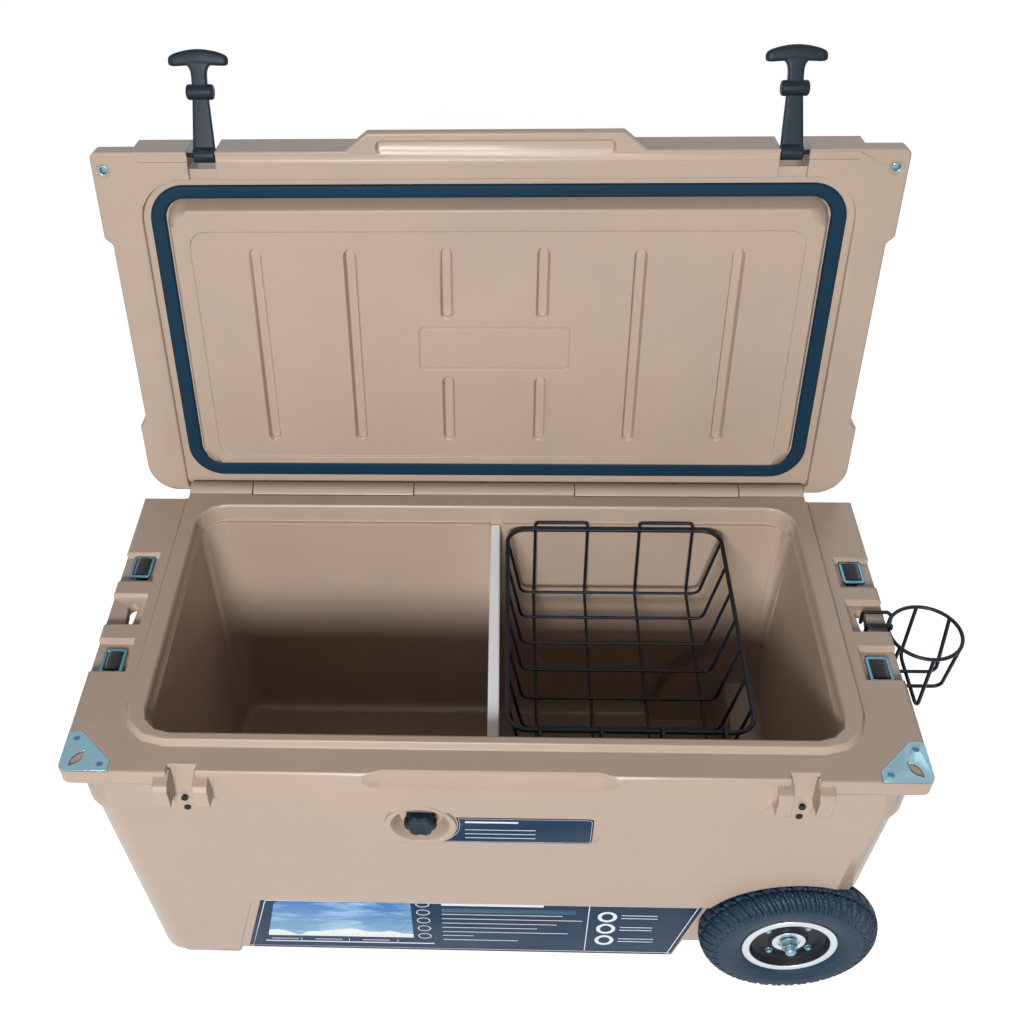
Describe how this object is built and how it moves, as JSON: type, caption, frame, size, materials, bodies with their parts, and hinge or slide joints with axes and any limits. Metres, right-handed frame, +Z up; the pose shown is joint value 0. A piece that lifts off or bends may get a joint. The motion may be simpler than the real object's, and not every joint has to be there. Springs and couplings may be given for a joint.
{
  "type": "wheeled cooler",
  "caption": "Rotomoulded cooler box on wheels at one end, with a hinged lid held by rubber latches, carry handles, a wire basket, a divider board and a wire cup holder.",
  "frame": {"origin": "on the ground under the middle of the box round the whole part at rest, with its lid open and the cup holder hung on, which is 43.45 mm towards the wheels and 43.37 mm towards the hinge from the tub's middle", "axes": "+X towards the wheels, +Y towards the hinge at the back, +Z up"},
  "size_m": [0.937, 0.5428, 0.9125],
  "materials": {
    "tan_plastic": "satin, finely textured moulded polyethylene",
    "black_rubber": "smooth satin rubber",
    "gasket_rubber": "smooth soft rubber",
    "stainless_steel": "brushed stainless steel",
    "black_webbing": "woven webbing",
    "black_wire": "plastic-coated steel wire",
    "white_board": "smooth board",
    "tyre_rubber": "matt moulded rubber",
    "rim_silver": "silver paint on steel",
    "black_enamel": "gloss black enamel"
  },
  "bodies": {
    "tub": {"tub": "tan_plastic", "axle": "stainless_steel", "axle_nut_front": "stainless_steel", "axle_nut_rear": "stainless_steel", "hinge_rod_left": "stainless_steel", "hinge_rod_right": "stainless_steel", "corner_plate_left": "stainless_steel", "corner_plate_right": "stainless_steel", "vent_seat": "black_rubber", "drain_fitting": "black_rubber", "drain_tether": "black_rubber", "plate_screw_left_1": "stainless_steel", "plate_screw_left_2": "stainless_steel", "plate_screw_right_1": "stainless_steel", "plate_screw_right_2": "stainless_steel", "keeper_screw_left_1": "black_rubber", "keeper_screw_left_2": "black_rubber", "keeper_screw_right_1": "black_rubber", "keeper_screw_right_2": "black_rubber", "strap_ring_left_front": "stainless_steel", "strap_ring_left_rear": "stainless_steel", "strap_ring_right_front": "stainless_steel", "strap_ring_right_rear": "stainless_steel", "strap_anchor_left_front": "black_webbing", "strap_anchor_left_rear": "black_webbing", "strap_anchor_right_front": "black_webbing", "strap_anchor_right_rear": "black_webbing"},
    "lid": {"lid": "tan_plastic", "gasket": "gasket_rubber", "lock_bushing_left": "stainless_steel", "lock_bushing_right": "stainless_steel", "latch_pin_left": "stainless_steel", "latch_pin_right": "stainless_steel"},
    "latch_left": {"latch_left": "black_rubber"},
    "latch_right": {"latch_right": "black_rubber"},
    "handle_left": {"carry_grip_left": "black_rubber", "strap_loop_left_front": "black_webbing", "strap_loop_left_rear": "black_webbing"},
    "handle_right": {"carry_grip_right": "black_rubber", "strap_loop_right_front": "black_webbing", "strap_loop_right_rear": "black_webbing"},
    "wheel_front": {"tyre_front": "tyre_rubber", "rim_outer_front": "rim_silver", "rim_inner_front": "rim_silver", "hub_disc_front": "black_enamel", "hub_sleeve_front": "stainless_steel"},
    "wheel_rear": {"tyre_rear": "tyre_rubber", "rim_outer_rear": "rim_silver", "rim_inner_rear": "rim_silver", "hub_disc_rear": "black_enamel", "hub_sleeve_rear": "stainless_steel"},
    "vent_button": {"vent_button": "black_rubber"},
    "basket": {"basket": "black_wire"},
    "divider": {"divider": "white_board"},
    "cup_holder": {"cup_holder": "black_wire"},
    "drain_plug": {"drain_plug": "black_rubber"}
  },
  "joints": [
    {"name": "lid_hinge", "type": "hinge", "parent": "tub", "child": "lid", "pos_m": [-0.04345, 0.15893, 0.4142], "axis": [-1, 0, 0], "range_deg": [-97.28, 0]},
    {"name": "latch_left_pivot", "type": "hinge", "parent": "lid", "child": "latch_left", "pos_m": [-0.34595, 0.22494, 0.8189], "axis": [-1, 0, 0], "range_deg": [-94, 72]},
    {"name": "latch_right_pivot", "type": "hinge", "parent": "lid", "child": "latch_right", "pos_m": [0.25905, 0.22494, 0.8189], "axis": [-1, 0, 0], "range_deg": [-94, 72]},
    {"name": "handle_left_swing", "type": "hinge", "parent": "tub", "child": "handle_left", "pos_m": [-0.44395, -0.04337, 0.3915], "axis": [0, 1, 0], "range_deg": [0, 80]},
    {"name": "handle_right_swing", "type": "hinge", "parent": "tub", "child": "handle_right", "pos_m": [0.35705, -0.04337, 0.3915], "axis": [0, -1, 0], "range_deg": [0, 20]},
    {"name": "wheel_front_spin", "type": "hinge", "parent": "tub", "child": "wheel_front", "pos_m": [0.29455, -0.23537, 0.1], "axis": [0, 1, 0], "continuous": true},
    {"name": "wheel_rear_spin", "type": "hinge", "parent": "tub", "child": "wheel_rear", "pos_m": [0.29455, 0.14863, 0.1], "axis": [0, 1, 0], "continuous": true},
    {"name": "vent_button_press", "type": "slide", "parent": "tub", "child": "vent_button", "axis": [0, 1, 0], "range_m": [0, 0.0036], "stiffness_N_per_m": 600},
    {"name": "basket_lift", "type": "slide", "parent": "tub", "child": "basket", "axis": [0, 0, 1], "range_m": [0, 0.15]},
    {"name": "divider_lift", "type": "slide", "parent": "tub", "child": "divider", "axis": [0, 0, 1], "range_m": [0, 0.36]},
    {"name": "cup_holder_lift", "type": "slide", "parent": "tub", "child": "cup_holder", "axis": [0, 0, 1], "range_m": [0, 0.05]},
    {"name": "drain_plug_turn", "type": "hinge", "parent": "tub", "child": "drain_plug", "pos_m": [-0.44845, -0.04337, 0.086], "axis": [-1, 0, 0], "range_deg": [0, 540]}
  ]
}
